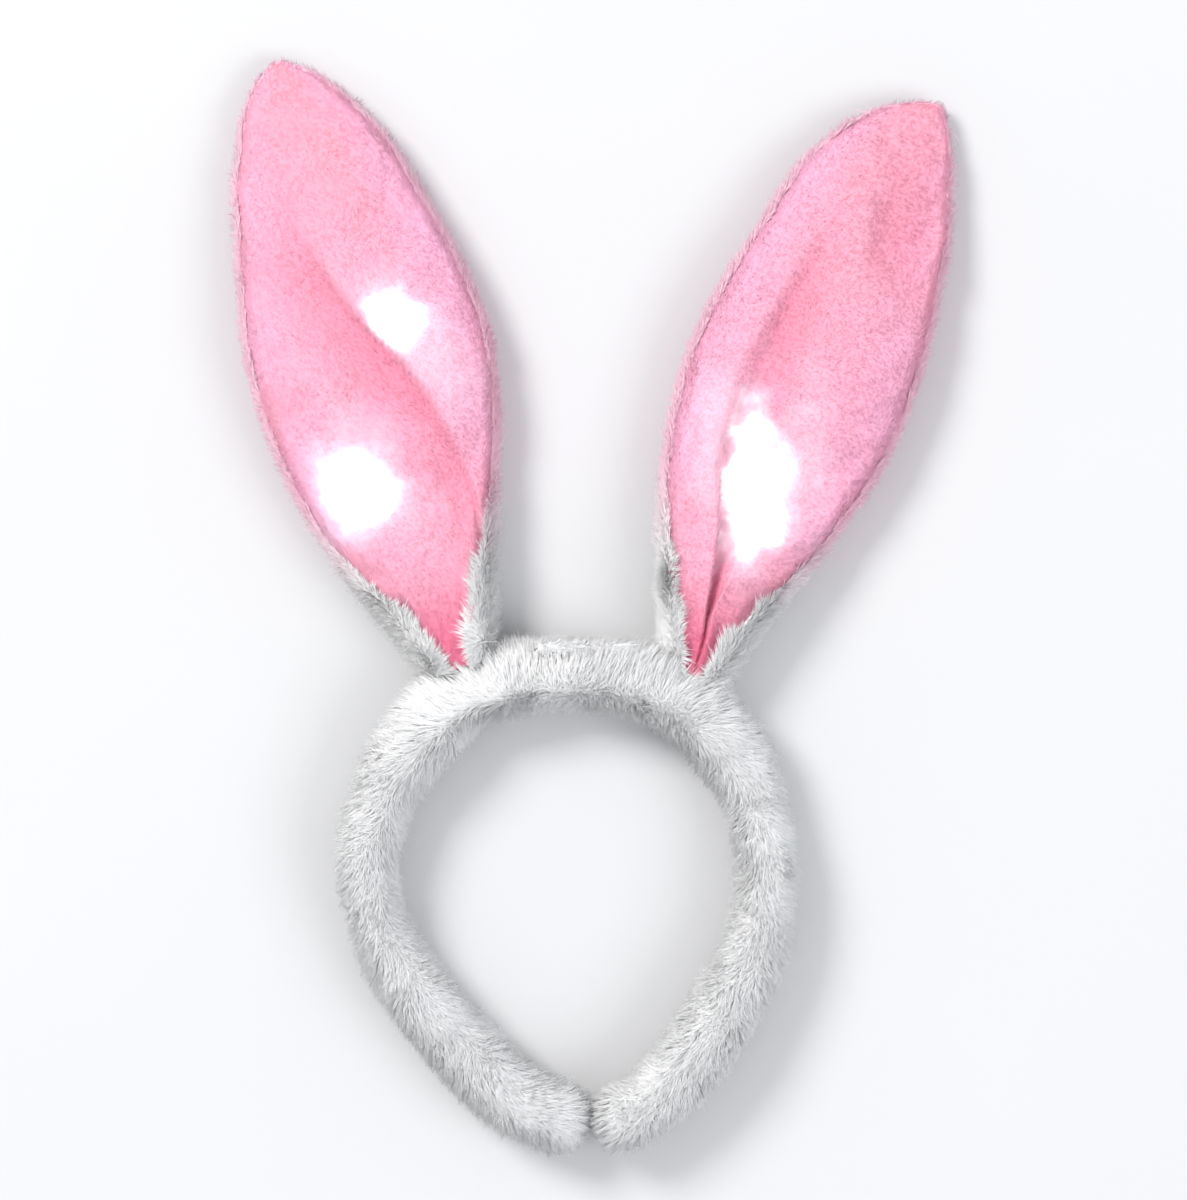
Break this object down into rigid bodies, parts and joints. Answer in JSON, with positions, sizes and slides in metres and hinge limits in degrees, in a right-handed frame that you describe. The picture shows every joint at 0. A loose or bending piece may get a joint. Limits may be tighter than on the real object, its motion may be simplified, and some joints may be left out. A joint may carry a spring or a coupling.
{
  "type": "light-up bunny ears headband",
  "caption": "Padded white plush headband with tall plush rabbit ears whose pink fronts glow from lamps inside, lying on its back.",
  "frame": {"origin": "centre of the bounding box's lowest face, on the surface that the headband lies on", "axes": "+Z out of the front of the headband, which points up as it lies; +Y from the band's ends towards the ear tips; +X to the right as seen from the front"},
  "size_m": [0.2438, 0.3662, 0.026],
  "materials": {
    "white_plush": "deep soft white plush",
    "pink_velour": "short-pile pink velour, lit from behind",
    "lamp": "frosted lamp"
  },
  "bodies": {
    "root": {"band_sleeve": "white_plush", "battery_pad": "white_plush", "left_ear_back": "white_plush", "left_ear_panel": "pink_velour", "left_ear_lamp_near": "lamp", "left_ear_lamp_far": "lamp", "right_ear_back": "white_plush", "right_ear_panel": "pink_velour", "right_ear_lamp_near": "lamp", "right_ear_lamp_far": "lamp"}
  },
  "joints": []
}
